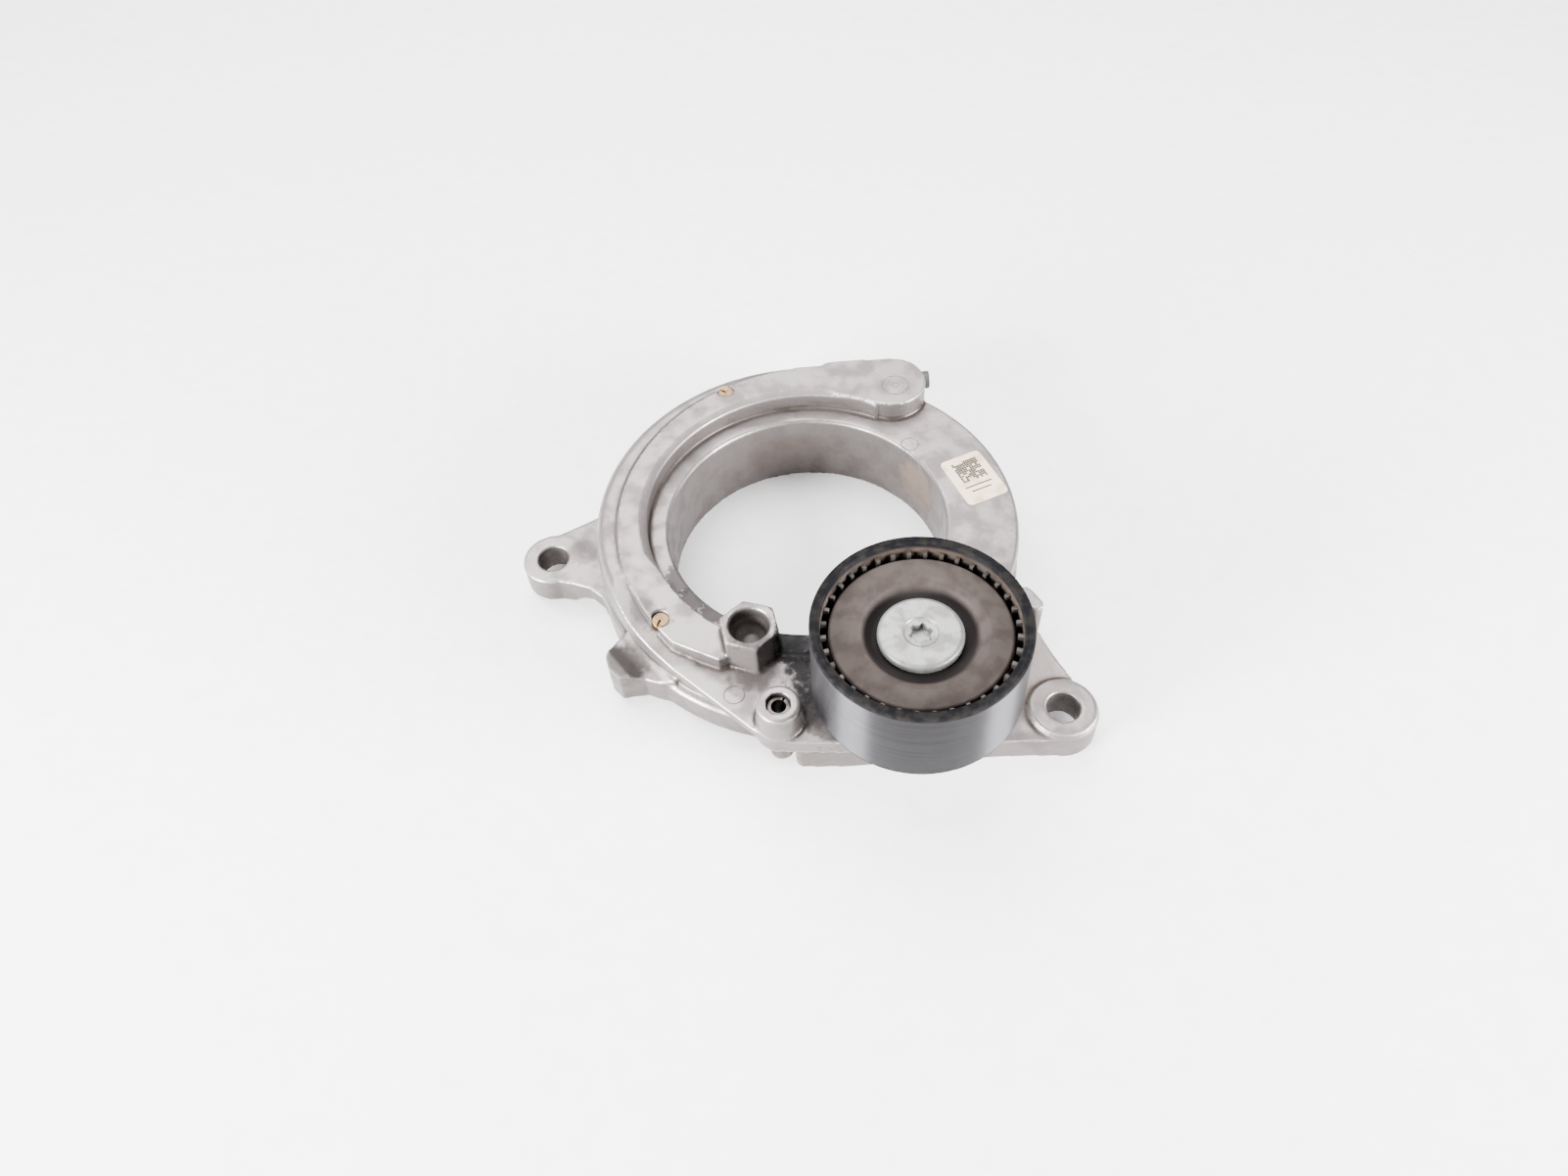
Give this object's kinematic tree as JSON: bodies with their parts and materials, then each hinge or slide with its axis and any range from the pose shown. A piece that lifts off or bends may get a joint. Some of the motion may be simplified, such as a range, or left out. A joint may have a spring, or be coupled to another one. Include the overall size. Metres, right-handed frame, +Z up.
{
  "type": "belt tensioner",
  "caption": "Ring-shaped belt tensioner: a sprung swing arm turns about a wide open bore on a two-ear base and carries a smooth idler pulley.",
  "frame": {"origin": "on the arm pivot axis, level with the lowest face of the hub", "axes": "+Z up the pivot axis towards the pulley; left ear towards -X, right ear towards +X -Y"},
  "size_m": [0.1746, 0.1638, 0.0575],
  "materials": {
    "die_cast": "as-cast, dull, lightly stained",
    "dark_polymer": "filled nylon, matt",
    "tan_polymer": "natural tan nylon, matt",
    "black_rubber": "moulded",
    "zinc_steel": "zinc plated",
    "spring_steel": "oiled spring wire",
    "pin_steel": "dark phosphated",
    "bearing_steel": "ground and polished",
    "shield_steel": "brown-grey coated sheet, satin",
    "bolt_zinc": "light grey zinc-flake coat",
    "black_plastic": "moulded, running face polished by the belt",
    "paper_label": null
  },
  "bodies": {
    "base": {"base_casting": "die_cast", "pivot_bush": "dark_polymer", "damping_disc": "dark_polymer", "spring_seat_fixed": "dark_polymer"},
    "arm": {"arm_casting": "die_cast", "retaining_ring": "zinc_steel", "thrust_washer": "dark_polymer", "arc_spring": "spring_steel", "spring_seat_moving": "dark_polymer", "guide_shell": "tan_polymer", "channel_plug": "black_rubber", "stop_pin": "pin_steel", "label_sticker": "paper_label", "bearing_inner_ring": "bearing_steel", "dust_shield_front": "shield_steel", "dust_shield_rear": "shield_steel", "pulley_spacer": "zinc_steel", "pulley_bolt": "bolt_zinc"},
    "pulley": {"pulley_rim": "black_plastic", "bearing_outer_ring": "bearing_steel", "bearing_seal_front": "black_rubber", "bearing_seal_rear": "black_rubber"},
    "ball_train": {"bearing_balls": "bearing_steel", "ball_cage": "dark_polymer"}
  },
  "joints": [
    {"name": "arm_pivot", "type": "hinge", "parent": "base", "child": "arm", "pos_m": [0, 0, 0.013], "axis": [0, 0, 1], "range_deg": [-34, 0], "stiffness_Nm_per_rad": 12, "springref_deg": 34.38, "deforming": ["arc_spring"]},
    {"name": "pulley_spin", "type": "hinge", "parent": "arm", "child": "pulley", "pos_m": [0.0267, -0.066, 0.04335], "axis": [0, 0, 1], "continuous": true},
    {"name": "ball_train_spin", "type": "hinge", "parent": "arm", "child": "ball_train", "pos_m": [0.0267, -0.066, 0.04335], "axis": [0, 0, 1], "continuous": true}
  ],
  "couplings": [
    {"joint": "ball_train_spin", "follows": "pulley_spin", "ratio": 0.61842}
  ]
}
